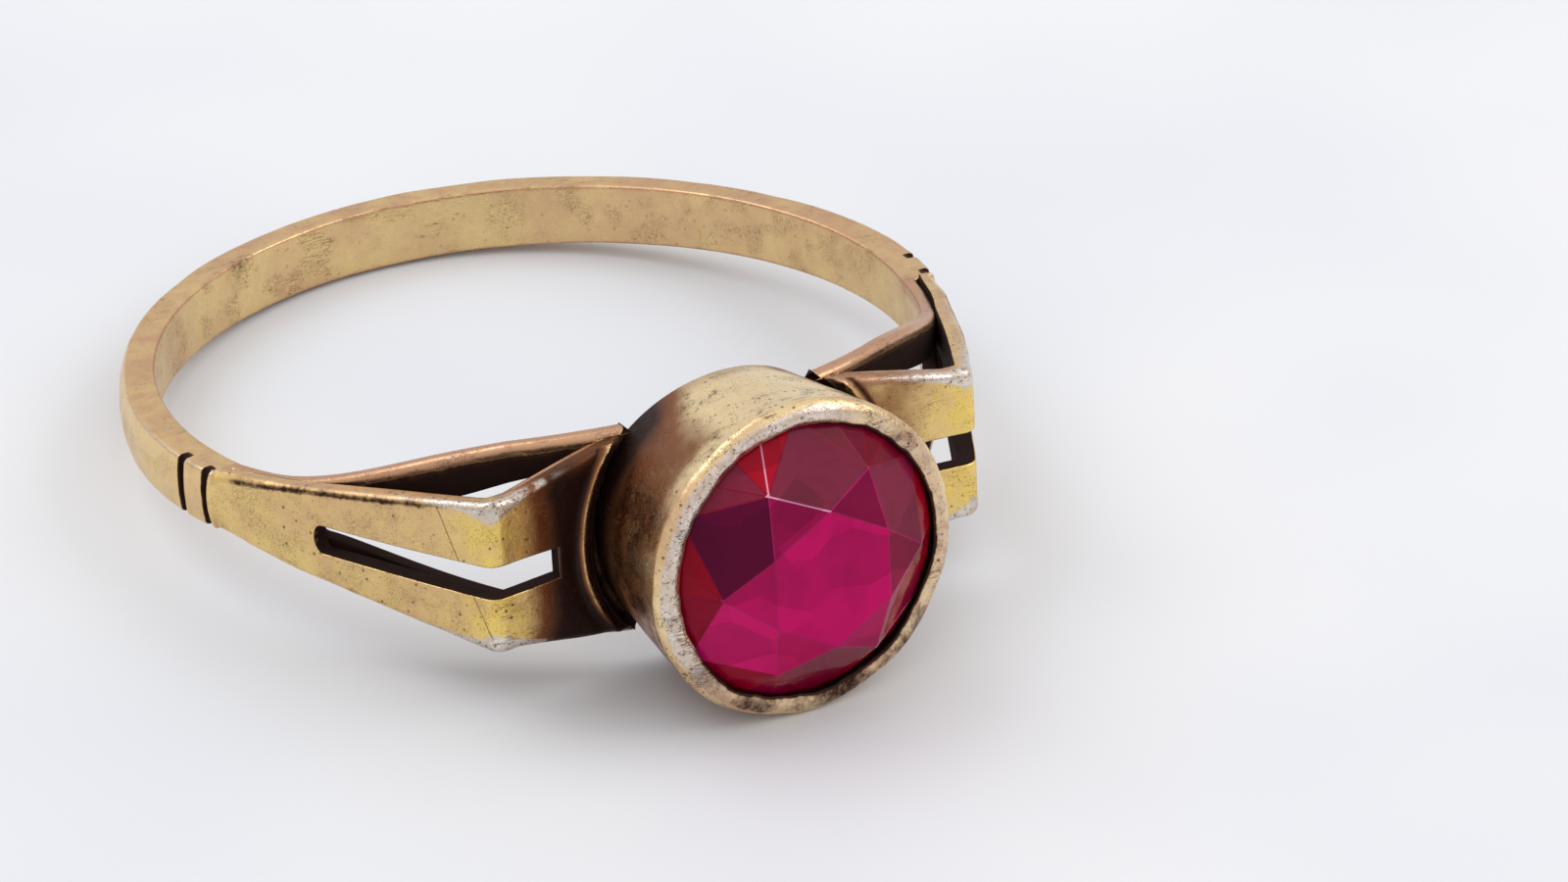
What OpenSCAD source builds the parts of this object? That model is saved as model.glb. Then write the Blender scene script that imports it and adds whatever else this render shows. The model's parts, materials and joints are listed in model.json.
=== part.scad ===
// Vintage gilt ring with split, slotted shoulders and one round red stone in a tall bezel.
// Every piece is drawn with the finger hole on Z and the stone facing -Y, then lying() sets the
// ring down on its bezel rim and the back of its hoop, the way it rests on a table.

/* [Hoop] */
// Diameter of the finger hole, mm
bore_d = 17.2; // [17:0.1:17.4]
// Thickness of the hoop at the back of the finger, mm
hoop_t = 0.86; // [0.8:0.02:0.92]
// Width of the hoop at the back of the finger, mm
hoop_w = 1.52; // [1.4:0.02:1.6]
// Width of the hoop where the shoulders start, mm
hoop_front_w = 1.36; // [1.3:0.02:1.4]
// How far the rounded outside of the hoop falls away at its edges, mm
hoop_crown = 0.24; // [0.18:0.02:0.3]
// Thickness of the inner arms that carry on from the hoop to the bezel, mm
arm_t = 0.34; // [0.32:0.01:0.36]
// Width of the inner arms at the bezel, mm
arm_w = 5.1; // [4.9:0.1:5.3]
// Width of the gap where each inner arm splits into an upper and a lower bar, mm
fork_start_w = 0.54; // [0.5:0.02:0.6]
// Width of that gap at the bezel, mm
fork_end_w = 3.9; // [3.7:0.1:4.1]

/* [Cut lines] */
// Width of each cut line across the hoop, mm
cut_w = 0.28; // [0.24:0.02:0.32]
// Depth of each cut line, mm
cut_depth = 0.12; // [0.08:0.01:0.14]
// Distance from the start of the shoulder to the first cut line, mm
cut_start = 0.18; // [0.18:0.02:0.26]
// Distance between the two cut lines, centre to centre, mm
cut_pitch = 0.94; // [0.86:0.02:1]

/* [Shoulders] */
// Angle round the hoop from the side of the ring to the start of each shoulder, degrees
start_angle = 12.2; // [11.8:0.1:12.6]
// Distance of each corner from the centre line of the ring, mm
corner_x = 5.99; // [5.9:0.01:6.1]
// Distance of each corner in front of the finger hole's centre, mm
corner_y = 9.12; // [9.05:0.01:9.2]
// Radius of the rounded outer corner, mm
corner_r = 0.4; // [0.35:0.05:0.45]
// Bow of the long outer face of the shoulder, mm
face_bow = 0.1; // [0.06:0.01:0.14]
// Thickness of the shoulder strip, mm
strip_t = 0.44; // [0.4:0.01:0.48]
// Width of the shoulder strip at the corner, mm
corner_w = 3.56; // [3.4:0.02:3.7]
// Width of the shoulder strip at the bezel, mm
front_w = 4.64; // [4.5:0.02:4.7]
// How much further back the front panel sits at the bezel than at the corner, mm
panel_drop = 0.3; // [0.26:0.01:0.34]
// Height of the worn lip on the cut end of the front panel, mm
lip_h = 0.08; // [0.06:0.01:0.1]

/* [Slots] */
// Where each slot starts, as a share of the long outer face
slot_start = 0.42; // [0.4:0.01:0.44]
// Where each slot ends, as a share of the front panel
slot_end = 0.49; // [0.46:0.01:0.5]
// Width of the slot at its rounded start, mm
slot_start_w = 0.66; // [0.62:0.02:0.7]
// Width of the slot at the corner, mm
slot_corner_w = 0.76; // [0.72:0.02:0.8]
// Width of the slot at its square end, mm
slot_end_w = 0.72; // [0.68:0.02:0.76]
// How far the slot sits below the middle of the strip, mm
slot_drop = 0.1; // [0.06:0.02:0.14]

/* [Bezel] */
// Outer diameter of the bezel at the rim, mm
rim_d = 7.26; // [7.2:0.02:7.32]
// Diameter of the opening over the stone, mm
opening_d = 6.42; // [6.38:0.02:6.46]
// Distance of the rim's front from the finger hole's centre, mm
rim_y = 12.12; // [12.05:0.01:12.2]
// Outer diameter of the bezel where it meets the finger hole, mm
foot_d = 6.1; // [6.04:0.02:6.12]
// Thickness of the bezel wall, mm
wall_t = 0.28; // [0.26:0.01:0.3]
// Radius of the rolled edge of the rim, mm
rim_r = 0.3; // [0.26:0.01:0.32]
// Inner diameter of the seat under the stone, mm
seat_d = 5.5; // [5.4:0.05:5.6]
// Height of the seat's inner wall, mm
seat_h = 0.4; // [0.3:0.05:0.5]
// Diameter of the cut at the shoulders' ends, which leaves room for solder, mm
solder_d = 6.8; // [6.74:0.02:6.86]

/* [Stone] */
// Diameter of the stone's girdle, mm
stone_d = 6.56; // [6.54:0.01:6.58]
// Height of the girdle's plain edge, mm
girdle_h = 0.2; // [0.18:0.01:0.22]
// Distance of the girdle's back edge from the finger hole's centre, mm
girdle_y = 11.55; // [11.53:0.01:11.57]
// Diameter of the table across its corners, mm
table_d = 3.2; // [3:0.05:3.4]
// Angle of the main crown facets, degrees
crown_angle = 40.5; // [38:0.5:42]
// Angle of the main back facets, degrees
back_angle = 40; // [38:0.5:42]

/* [Hidden] */
$fn = 120;
eps = 0.01;
bore_r = bore_d / 2;
hoop_r = bore_r + hoop_t;
edge_r = hoop_r - hoop_crown;
arm_r = bore_r + arm_t;
hoop_h = hoop_w / 2;
crown_r = (hoop_h * hoop_h + hoop_crown * hoop_crown) / (2 * hoop_crown);
reach = 2 * hoop_r;

rim_round_r = rim_d / 2 - rim_r;
rim_round_y = rim_y - rim_r;
wall_top_y = rim_round_y;
wall_foot_y = bore_r - 1;
solder_r = solder_d / 2;
opening_r = opening_d / 2;

// The stone is six-sided: one corner of its table points straight up and one straight down.
facets = 6;
half_facet = 180 / facets;
stone_r = stone_d / 2;
girdle_top_y = girdle_y + girdle_h;
table_r = table_d / 2;
table_y = girdle_top_y + (stone_r - table_r) * tan(crown_angle);
star_r = table_r + (stone_r - table_r) * 0.5;
tip_r = 0.15;
tip_y = girdle_y - (stone_r - tip_r) * tan(back_angle);
back_mid_r = stone_r * 0.45;

// The seat bears on the steepest lines of the stone's back.
seat_r = seat_d / 2;
seat_slope = tan(back_angle) * (stone_r - back_mid_r * cos(half_facet)) / (stone_r - back_mid_r);
seat_y = girdle_y - (stone_r - seat_r) * seat_slope;

// The resting tilt: the rolled rim and the hoop's back edge touch the table together.
drop_z = rim_round_r - hoop_h;
span_y = rim_round_y + edge_r;
tilt = atan(drop_z / span_y) + asin(rim_r / sqrt(drop_z * drop_z + span_y * span_y));
lift = edge_r * sin(tilt) + hoop_h * cos(tilt);
back_y = (hoop_r - crown_r) * cos(tilt) + crown_r;
front_y = max(rim_round_y * cos(tilt) + rim_round_r * sin(tilt) + rim_r,
    table_y * cos(tilt) + table_r * sin(tilt));
centre_y = (front_y - back_y) / 2;

// The long outer face runs from the hoop to the corner as a very shallow arc.
start_p = [hoop_r * cos(start_angle), -hoop_r * sin(start_angle)];
corner_p = [corner_x, -corner_y];
panel_p = [0, -(corner_y - panel_drop)];
face_len = norm(corner_p - start_p);
face_dir = (corner_p - start_p) / face_len;
face_out = [-face_dir[1], face_dir[0]];
face_r = (face_len * face_len / 4 + face_bow * face_bow) / (2 * face_bow);
face_c = (start_p + corner_p) / 2 - face_out * (face_r - face_bow);
face_steps = 12;
panel_end_x = solder_r;
panel_slope = panel_drop / (corner_x - panel_end_x);

GOLD = [0.82, 0.68, 0.34];
PALE = [0.86, 0.78, 0.55];
SOLDER = [0.55, 0.48, 0.36];
RUBY = [0.72, 0.04, 0.24];

module lying() translate([0, centre_y, lift]) rotate([-tilt, 0, 0]) children();

// side = 1 is the right shoulder, side = -1 the left one.
module on_side(side) if (side > 0) children(); else mirror([1, 0, 0]) children();

// Extrude a side outline, drawn as [y, z], across the whole ring.
module side_prism() rotate([90, 0, 90]) linear_extrude(height = 2 * reach, center = true) children();

// Extrude a front outline, drawn as [x, z], through the whole ring.
module front_prism() rotate([90, 0, 0]) linear_extrude(height = 2 * reach, center = true) children();

// Turn a bezel outline, drawn as [radius, distance in front of the finger hole].
module bezel_turn() rotate([90, 0, 0]) rotate_extrude() children();

// ---- Hoop and inner arms ----

function ease(t) = (1 - cos(180 * min(max(t, 0), 1))) / 2;
start_y = -start_p[1];
flare_y = 3;
flare_len = 5.8;
function arm_half(y) = y > -start_y
    ? hoop_front_w / 2 + (hoop_h - hoop_front_w / 2) * (y + start_y) / (hoop_r + start_y)
    : hoop_front_w / 2 + max(0, -y - start_y) * 0.1
        + (arm_w / 2 - hoop_front_w / 2 - 0.1 * (flare_y + flare_len - start_y))
            * ease((-y - flare_y) / flare_len);
arm_ys = concat([hoop_r + 1], [for (i = [0:24]) -start_y - i * (bore_r - start_y + 0.4) / 24]);

// Each inner arm splits in two, so that the finger hole's wall is open behind the slot.
fork_y = 4.4;
fork_len = 4;
fork_steps = 16;
function fork_half(y) = fork_start_w / 2
    + (fork_end_w - fork_start_w) / 2 * pow(max(0, -y - fork_y) / fork_len, 1.5);
fork_ys = [for (i = [0:fork_steps]) -fork_y - i * (bore_r + 0.4 - fork_y) / fork_steps];
module arm_fork() {
    polygon(concat([for (y = fork_ys) [y, fork_half(y)]],
        [for (i = [fork_steps:-1:0]) [fork_ys[i], -fork_half(fork_ys[i])]]));
    translate([-fork_y, 0]) circle(fork_start_w / 2);
}

module hoop_outline(cut = 0) intersection() {
    translate([bore_r, -hoop_h]) square([hoop_t, hoop_w]);
    translate([hoop_r - crown_r - cut, 0]) circle(crown_r);
}

module arm_side() polygon(concat(
    [for (y = arm_ys) [y, arm_half(min(y, hoop_r))]],
    [for (i = [len(arm_ys) - 1:-1:0]) [arm_ys[i], -arm_half(min(arm_ys[i], hoop_r))]]));

module cut_lines() for (side = [0, 1], k = [0, 1]) mirror([side, 0, 0]) {
    back = asin((cut_start + k * cut_pitch) / hoop_r) - start_angle;
    half = asin(cut_w / 2 / hoop_r);
    rotate([0, 0, back - half]) rotate_extrude(angle = 2 * half) difference() {
        translate([hoop_r - 0.6, -hoop_h - 1]) square([1.6, hoop_w + 2]);
        hoop_outline(cut_depth);
    }
}

module shank() color(GOLD) lying() difference() {
    intersection() {
        union() {
            rotate([0, 0, -start_angle]) rotate_extrude(angle = 180 + 2 * start_angle) hoop_outline();
            rotate_extrude() translate([bore_r, -reach / 2]) square([arm_t, reach]);
        }
        side_prism() arm_side();
    }
    cut_lines();
    side_prism() arm_fork();
    rotate([90, 0, 0]) cylinder(h = reach, r = solder_r);
}

// ---- Outer shoulders ----

function face_point(t, inset) = let (
    half = asin(face_len / 2 / face_r),
    mid = atan2(face_out[1], face_out[0]),
    a = mid + half - 2 * half * t
) face_c + (face_r - inset) * [cos(a), sin(a)];
function panel_y(x, inset) = -(corner_y - panel_slope * (corner_x - x)) + inset;

// Direction of the face where it reaches the corner, and the corner's own rounding.
corner_dir = let (d = corner_p - face_point(0.97, 0)) d / norm(d);
panel_dir = let (d = [-1, panel_slope]) d / norm(d);
turn = acos(corner_dir * panel_dir);
function corner_arc(r, inset) = let (
    setback = (r + inset) * tan(turn / 2),
    out = [-corner_dir[1], corner_dir[0]],
    c = corner_p - corner_dir * setback - out * (r + inset)
) [for (i = [0:8]) c + r * [cos(atan2(out[1], out[0]) - turn * i / 8),
    sin(atan2(out[1], out[0]) - turn * i / 8)]];

module shoulder_plan(inset, r) polygon(concat(
    [[0, 0], [hoop_r, start_p[1]]],
    [for (i = [0:face_steps]) face_point(i / face_steps * 0.9, inset)],
    corner_arc(r, inset),
    [[0, panel_y(0, inset)]]));

module shoulder_body() difference() {
    shoulder_plan(0, corner_r);
    shoulder_plan(strip_t, 0.1);
    circle(arm_r);
}

// Half width of the strip: along the long face it grows with y, along the panel with x.
module face_side() polygon([
    [-start_y, hoop_front_w / 2], [-corner_y, corner_w / 2], [-corner_y - 1, corner_w / 2],
    [-corner_y - 1, -corner_w / 2], [-corner_y, -corner_w / 2], [-start_y, -hoop_front_w / 2]]);
wide_x = 2.5;
bend_x = corner_x - 0.6;
module panel_front() polygon([
    [0, front_w / 2], [wide_x, front_w / 2], [bend_x, corner_w / 2], [hoop_r, corner_w / 2],
    [hoop_r, -corner_w / 2], [bend_x, -corner_w / 2], [wide_x, -front_w / 2], [0, -front_w / 2]]);

// The panel takes its width from the front outline, the rest of the strip from the side one.
module panel_zone() translate([0, -corner_y - 1, -reach / 2]) cube([bend_x, 3, reach]);
module face_zone() difference() {
    translate([0, -reach, -reach]) cube(2 * reach);
    panel_zone();
}

slot_y = start_p[1] + (corner_p[1] - start_p[1]) * slot_start;
slot_x = corner_x - (corner_x - wide_x) * slot_end;
module slot_side() translate([0, -slot_drop]) {
    polygon([[slot_y, slot_start_w / 2], [-corner_y, slot_corner_w / 2],
        [-corner_y - 1, slot_corner_w / 2], [-corner_y - 1, -slot_corner_w / 2],
        [-corner_y, -slot_corner_w / 2], [slot_y, -slot_start_w / 2]]);
    translate([slot_y, 0]) circle(slot_start_w / 2);
}
module slot_front() translate([0, -slot_drop]) polygon([
    [slot_x, slot_end_w / 2], [bend_x, slot_corner_w / 2], [hoop_r, slot_corner_w / 2],
    [hoop_r, -slot_corner_w / 2], [bend_x, -slot_corner_w / 2], [slot_x, -slot_end_w / 2]]);

module shoulder(side) color(GOLD) lying() on_side(side) difference() {
    union() {
        intersection() {
            linear_extrude(height = reach, center = true) shoulder_body();
            side_prism() face_side();
            face_zone();
        }
        intersection() {
            linear_extrude(height = reach, center = true) shoulder_body();
            front_prism() panel_front();
            panel_zone();
        }
        panel_lip();
    }
    intersection() {
        side_prism() slot_side();
        face_zone();
    }
    intersection() {
        front_prism() slot_front();
        panel_zone();
    }
    rotate([90, 0, 0]) cylinder(h = reach, r = solder_r);
}
// The raised, worn lip that follows the panel's curved end beside the bezel.
module panel_lip() intersection() {
    translate([0, panel_y(solder_r, 0) - lip_h, 0]) rotate([-90, 0, 0]) cylinder(h = 0.3, r = solder_r + 0.18);
    front_prism() panel_front();
    translate([0, -reach, -reach / 2]) cube([reach, reach, reach]);
}

module left_shoulder() shoulder(-1);
module right_shoulder() shoulder(1);

// ---- Solder ----

tip_len = 0.7;
module tip_solder(side) color(SOLDER) lying() on_side(side)
    linear_extrude(height = hoop_front_w, center = true) intersection() {
        difference() {
            shoulder_plan(strip_t, 0.1);
            circle(arm_r);
        }
        translate(tip_corner()) square([2, 2]);
    }
function tip_corner() = let (
    d = norm(face_c),
    inner = face_r - strip_t,
    cosine = (d * d + arm_r * arm_r - inner * inner) / (2 * d * arm_r),
    a = atan2(face_c[1], face_c[0]) + acos(cosine)
) [arm_r * cos(a) - 1, arm_r * sin(a) - tip_len];
module left_tip_solder() tip_solder(-1);
module right_tip_solder() tip_solder(1);

// The solder joins both bars of the inner arm to the bezel, with a thin web behind the panel's end.
solder_half = front_w / 2 + 0.08;
panel_back_y = corner_y - panel_drop - strip_t;
solder_top_y = panel_back_y + 0.1;
solder_web_y = panel_back_y - 0.1;
module solder_gap() intersection() {
    arm_fork();
    translate([-solder_web_y, -reach / 2]) square([reach, reach]);
}
module bezel_solder(side) color(SOLDER) lying() on_side(side) difference() {
    intersection() {
        bezel_turn() difference() {
            translate([0, wall_foot_y]) square([solder_r, solder_top_y - wall_foot_y]);
            bezel_outer();
        }
        translate([0, -reach, -solder_half]) cube([reach, reach, 2 * solder_half]);
    }
    cylinder(h = reach, r = bore_r, center = true);
    side_prism() solder_gap();
}
module left_bezel_solder() bezel_solder(-1);
module right_bezel_solder() bezel_solder(1);

// ---- Bezel ----

module bezel_outer() {
    polygon([[0, wall_foot_y], [foot_d / 2, wall_foot_y], [rim_d / 2, wall_top_y],
        [rim_round_r, wall_top_y], [rim_round_r, rim_y], [0, rim_y]]);
    translate([rim_round_r, rim_round_y]) circle(rim_r);
}
foot_in = foot_d / 2 - wall_t;
function wall_in(y) = foot_in + (stone_r - foot_in) * (y - wall_foot_y) / (girdle_y - wall_foot_y);

module bezel_wall() color(PALE) lying() difference() {
    bezel_turn() difference() {
        bezel_outer();
        polygon([[0, wall_foot_y - 1], [wall_in(wall_foot_y - 1), wall_foot_y - 1],
            [stone_r, girdle_y], [stone_r, girdle_top_y],
            [opening_r, girdle_top_y + (stone_r - opening_r) * 2],
            [opening_r, rim_y + 1], [0, rim_y + 1]]);
    }
    cylinder(h = reach, r = bore_r, center = true);
}

module stone_seat() color(PALE) lying() bezel_turn() polygon([
    [stone_r, girdle_y], [seat_r, seat_y], [seat_r, seat_y - seat_h],
    [wall_in(seat_y - seat_h), seat_y - seat_h]]);

// ---- Stone ----

// One face of the stone: a flat middle, star facets round it, main facets and girdle facets.
// Each ring is a list of points; up is 1 for the crown and -1 for the back.
function ring(n, turn, r, y) = [for (i = [0:n - 1])
    [r * cos(i * 360 / n + turn), -y, r * sin(i * 360 / n + turn)]];
function facet_rings(flat_r, mid_r, flat_y, edge_y) = let (
    slope = (flat_y - edge_y) / (stone_r - flat_r),
    mid_y = flat_y - (mid_r * cos(half_facet) - flat_r) * slope
) concat(ring(facets, half_facet, flat_r, flat_y), ring(facets, 2 * half_facet, mid_r, mid_y),
    ring(4 * facets, half_facet, stone_r, edge_y));
function facet_faces(base) = let (n = facets, flat = base, mid = base + n, edge = base + 2 * n)
    concat([[for (i = [0:n - 1]) flat + i]],
        [for (i = [0:n - 1]) [flat + (i + 1) % n, flat + i, mid + i]],
        [for (i = [0:n - 1]) [flat + i, mid + (i + n - 1) % n, edge + 4 * i, mid + i]],
        [for (i = [0:n - 1], k = [0:3]) [mid + i, edge + 4 * i + k, edge + (4 * i + k + 1) % (4 * n)]]);
function flipped(faces) = [for (f = faces) [for (i = [len(f) - 1:-1:0]) f[i]]];

side_points = 6 * facets;
edge_points = 4 * facets;
module stone() color(RUBY) lying() polyhedron(
    points = concat(facet_rings(table_r, star_r, table_y, girdle_top_y),
        facet_rings(tip_r, back_mid_r, tip_y, girdle_y)),
    faces = concat(flipped(facet_faces(0)), facet_faces(side_points),
        [for (i = [0:edge_points - 1]) let (j = (i + 1) % edge_points, e = 2 * facets)
            [e + i, e + j, side_points + e + j, side_points + e + i]]));

shank();
left_shoulder();
right_shoulder();
left_tip_solder();
right_tip_solder();
left_bezel_solder();
right_bezel_solder();
bezel_wall();
stone_seat();
stone();
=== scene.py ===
import json
import math

import bmesh
import bpy
import numpy as np
from mathutils import Euler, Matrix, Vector


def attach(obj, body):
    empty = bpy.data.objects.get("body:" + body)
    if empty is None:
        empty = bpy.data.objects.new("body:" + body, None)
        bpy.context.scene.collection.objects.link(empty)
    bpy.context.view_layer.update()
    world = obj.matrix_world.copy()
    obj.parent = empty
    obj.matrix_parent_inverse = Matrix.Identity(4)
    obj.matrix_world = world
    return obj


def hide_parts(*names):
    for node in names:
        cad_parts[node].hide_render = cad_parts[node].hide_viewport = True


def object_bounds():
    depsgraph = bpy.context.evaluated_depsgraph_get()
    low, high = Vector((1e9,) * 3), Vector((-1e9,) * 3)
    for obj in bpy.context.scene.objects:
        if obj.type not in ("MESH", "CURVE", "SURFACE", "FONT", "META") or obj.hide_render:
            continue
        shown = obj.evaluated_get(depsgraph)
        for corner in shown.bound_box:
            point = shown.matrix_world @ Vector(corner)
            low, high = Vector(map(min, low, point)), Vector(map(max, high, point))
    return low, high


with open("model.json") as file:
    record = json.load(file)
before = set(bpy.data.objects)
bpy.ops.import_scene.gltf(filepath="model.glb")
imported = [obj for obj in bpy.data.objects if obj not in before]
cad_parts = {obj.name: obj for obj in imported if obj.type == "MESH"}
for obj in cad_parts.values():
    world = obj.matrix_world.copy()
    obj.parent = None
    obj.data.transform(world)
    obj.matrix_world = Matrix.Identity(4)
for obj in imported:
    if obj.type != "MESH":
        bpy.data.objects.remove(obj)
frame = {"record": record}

CAD_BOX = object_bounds()
FINGER_HOLE = frame["record"]["mounts"][0]
CENTRE = np.array(FINGER_HOLE["pos_m"])
TILT = math.atan2(FINGER_HOLE["axis"][1], FINGER_HOLE["axis"][2])
MM = 0.001
deg = math.radians
SIDE_NAMES = {-1: "left", 1: "right"}

# ---- Sizes, in millimetres, in the ring's own frame: finger hole on Z, stone facing -Y ----
# _R is a radius, _HALF half a height along Z, and _T a thickness. _X and _Y are places; a positive
# _Y is how far in front of the finger hole's centre the place is.

# The hoop, and the thinner arms that carry the finger hole's curve on to the bezel
BORE_R = 8.6
HOOP_R = 9.46
ARM_R = 8.94
ARM_MID_R = 8.77
HOOP_HALF = 0.76
FRONT_HALF = 0.68
ARM_HALF = 2.55
ARM_SLOPE = 0.1
FLARE_Y = 3
FLARE_LEN = 5.8
CROWN = 0.24
CROWN_R = (HOOP_HALF ** 2 + CROWN ** 2) / (2 * CROWN)
ARM_TURN_IN = 0.16

# The gap between the upper and the lower bar of each arm
FORK_Y = 4.4
FORK_LEN = 4
FORK_START = 0.27
FORK_END = 1.95

# The two lines cut across the hoop behind each shoulder
CUT_START = 0.18
CUT_PITCH = 0.94
CUT_HALF = 0.14
CUT_DEPTH = 0.12

# The shoulder strips: a slightly bowed face from the hoop to the corner, then a panel to the bezel
START = deg(12.2)
START_P = np.array([HOOP_R * math.cos(START), -HOOP_R * math.sin(START)])
CORNER_P = np.array([5.99, -9.12])
CORNER_R_OUT = 0.4
CORNER_R_IN = 0.1
FACE_BOW = 0.1
STRIP_T = 0.44
CORNER_HALF = 1.78
PANEL_HALF = 2.32
PANEL_DROP = 0.3
SOLDER_R = 3.4
WIDE_X = 2.5
BEND_X = 5.39
PANEL_SLOPE = PANEL_DROP / (CORNER_P[0] - SOLDER_R)
STRIP_EDGE_OUT = 0.17
STRIP_EDGE_IN = 0.05
LIP_FROM_END = 0.3

# The slot in each strip, with a rounded nose on the face and a square end on the panel
SLOT_Y = START_P[1] + (CORNER_P[1] - START_P[1]) * 0.42
SLOT_X = CORNER_P[0] - (CORNER_P[0] - WIDE_X) * 0.49
SLOT_START = 0.33
SLOT_NOSE = 0.24
NOSE_POWER = 2.6
SLOT_CORNER = 0.38
SLOT_END = 0.36
SLOT_DROP = 0.1

# The solder in the strip's sharp end, and at the bezel
TIP_FROM_Y = 2.02
TIP_TO_Y = 3.3
TIP_HALF = 0.64
FILLET_HALF = 2.38
FILLET_R = 3.3
FILLET_Y = 8.42
WEB_Y = 8.29

# The bezel: a flared tube whose edge is rolled over the stone
RIM_Y = 12.12
RIM_ROLL = 0.3
ROLL_TURN = deg(126)
RIM_R = 3.63
FOOT_R = 3.05
FOOT_Y = 7.6
FOOT_IN_R = FOOT_R - 0.28

# The stone and its seat
STONE_R = 3.28
GIRDLE_Y = 11.55
GIRDLE_TOP = 11.75
TABLE_R = 1.6
TABLE_Y = GIRDLE_TOP + (STONE_R - TABLE_R) * math.tan(deg(40.5))
STAR_R = TABLE_R + (STONE_R - TABLE_R) * 0.5
BACK_TIP_R = 0.15
BACK_MID_R = STONE_R * 0.45
BACK_SLOPE = math.tan(deg(40))
SIXFOLD = 6
SEAT_R = 2.75
SEAT_HEIGHT = 0.4
SEAT_EASE = 0.03


# ---- Helpers ----

def to_row(points):
    """Ring-frame millimetres to row-frame metres."""
    p = np.asarray(points, float) * MM
    c, s = math.cos(TILT), math.sin(TILT)
    y = p[..., 1] * c + p[..., 2] * s
    z = -p[..., 1] * s + p[..., 2] * c
    return np.stack([p[..., 0] + CENTRE[0], y + CENTRE[1], z + CENTRE[2]], -1)


def smooth(a, b, x):
    """0 at a, 1 at b and level beyond them, with an eased ramp between; a may be above b."""
    t = np.clip((np.asarray(x, float) - a) / (b - a), 0, 1)
    return t * t * (3 - 2 * t)


def bump_at(x, centre, width):
    """1 at the centre, falling to nothing over about twice the width."""
    return np.exp(-((np.asarray(x, float) - centre) / width) ** 2)


def ripple(seed, low, high, count=14):
    """A smooth pseudo-random field over 3-D points, mostly between -1.5 and 1.5."""
    rng = np.random.default_rng(seed)
    d = rng.normal(size=(count, 3))
    d /= np.linalg.norm(d, axis=1)[:, None]
    k = d * rng.uniform(low, high, count)[:, None]
    ph = rng.uniform(0, 2 * math.pi, count)
    return lambda p: np.sin(np.asarray(p) @ k.T + ph).sum(-1) / math.sqrt(count)


slow = ripple(3, 0.5, 1.6)
mid = ripple(5, 3.0, 7.0)
fine = ripple(8, 12.0, 26.0)


def crown_drop(z, reach):
    """How far the hoop's crowned outside lies below its middle line at height z."""
    return CROWN_R - np.sqrt(CROWN_R ** 2 - np.minimum(np.abs(z), reach) ** 2)


def add_object(name, data):
    obj = bpy.data.objects.new(name, data)
    bpy.context.scene.collection.objects.link(obj)
    return obj


def build(name, verts, faces, marks, sharp=38, merge=0.0):
    """A mesh object from ring-frame points, clipped to the CAD box; marks are named point attributes."""
    mesh = bpy.data.meshes.new(name)
    points = np.clip(to_row(verts), *CAD_BOX)
    mesh.from_pydata(points.tolist(), [], [list(map(int, f)) for f in faces])
    marks = {"shade": np.zeros(len(verts)), "scratch": np.ones(len(verts)), **marks}
    for key, values in marks.items():
        layer = mesh.attributes.new(key, "FLOAT", "POINT")
        layer.data.foreach_set("value", np.asarray(values, np.float32).ravel())
    bm = bmesh.new()
    bm.from_mesh(mesh)
    if merge:
        bmesh.ops.remove_doubles(bm, verts=bm.verts, dist=merge * MM)
    bmesh.ops.recalc_face_normals(bm, faces=bm.faces)
    bm.to_mesh(mesh)
    bm.free()
    mesh.polygons.foreach_set("use_smooth", [True] * len(mesh.polygons))
    mesh.set_sharp_from_angle(angle=deg(sharp))
    return add_object(name, mesh)


def grid_faces(rows, cols, start=0, close_cols=False, close_rows=False, skip=lambda i, j: False):
    """Quads over a grid of points."""
    out = []
    for i in range(rows if close_rows else rows - 1):
        for j in range(cols if close_cols else cols - 1):
            if skip(i, j):
                continue
            a, b = (i + 1) % rows, (j + 1) % cols
            out.append((start + i * cols + j, start + i * cols + b,
                        start + a * cols + b, start + a * cols + j))
    return out


def even_marks(count, grime, rub, copper, glow):
    """The same dirt with painted shade, wear and painted highlight at every point."""
    amounts = dict(grime=grime, rub=rub, copper=copper, glow=glow)
    return {key: np.full(count, float(amount)) for key, amount in amounts.items()}


def finish_piece(obj, node, material):
    obj.data.materials.append(material)
    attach(obj, "root")
    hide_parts(node)


# ---- Materials ----

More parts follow.
